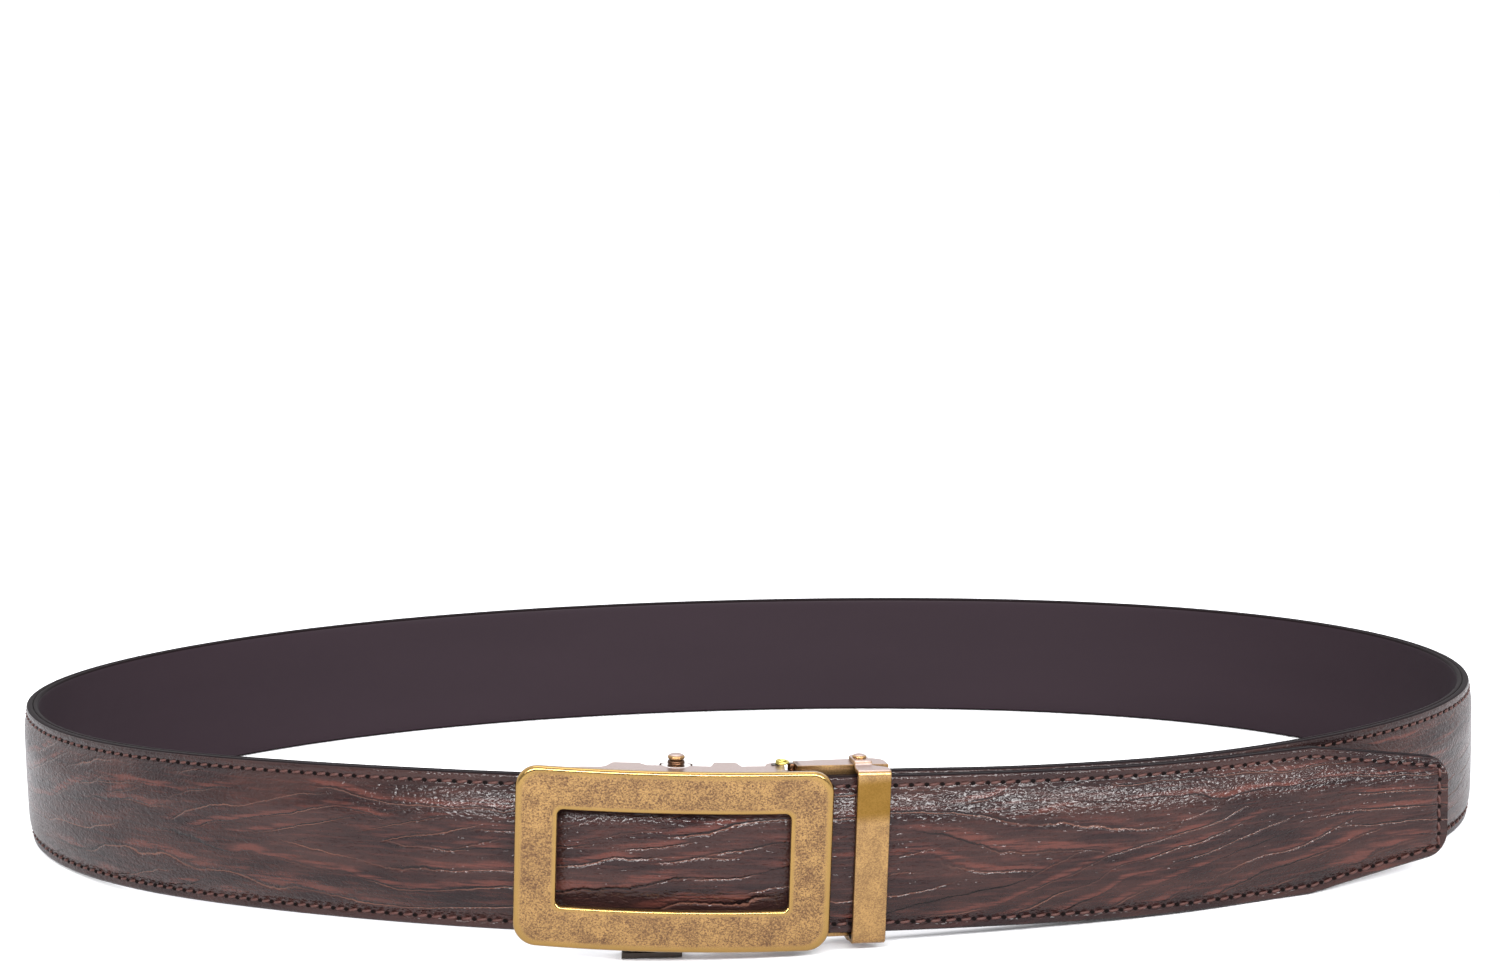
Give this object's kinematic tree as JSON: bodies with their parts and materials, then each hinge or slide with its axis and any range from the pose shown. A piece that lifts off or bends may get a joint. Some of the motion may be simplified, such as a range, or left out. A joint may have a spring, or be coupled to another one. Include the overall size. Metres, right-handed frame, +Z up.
{
  "type": "ratchet belt",
  "caption": "Fastened leather belt standing on its edge, with an open rectangular brass ratchet buckle, a clamp for the cut end and a riveted keeper loop.",
  "frame": {"origin": "on the ground under the middle of the belt's bounding box", "axes": "+X along the longest extent, to the wearer's left of the buckle as seen from the front, -Y out through the buckle, +Z up across the strap"},
  "size_m": [0.3822, 0.2548, 0.045],
  "materials": {
    "face_leather": "embossed, semi-gloss, with red-brown streaks",
    "lining_leather": "smooth, matt",
    "track_plastic": "moulded",
    "antique_brass": "antique plating, satin, with brighter rims",
    "spring_brass": "bright",
    "dark_steel": "dark plated"
  },
  "bodies": {
    "belt": {"strap_face": "face_leather", "strap_lining": "lining_leather", "ratchet_track": "track_plastic", "buckle_frame": "antique_brass", "lever_pin": "antique_brass", "lever_spring": "spring_brass", "clamp_body": "antique_brass", "clamp_hinge_pin": "dark_steel", "clamp_jaw": "dark_steel", "keeper_loop": "antique_brass", "keeper_rivet_top": "antique_brass", "keeper_rivet_bottom": "antique_brass"},
    "lever": {"release_lever": "dark_steel"}
  },
  "joints": [
    {"name": "lever_pivot", "type": "hinge", "parent": "belt", "child": "lever", "pos_m": [-0.01662, -0.11691, 0.02325], "axis": [0.0506, 0.0016, 0.9987], "range_deg": [0, 9], "stiffness_Nm_per_rad": 0.05, "springref_deg": -17.19}
  ]
}
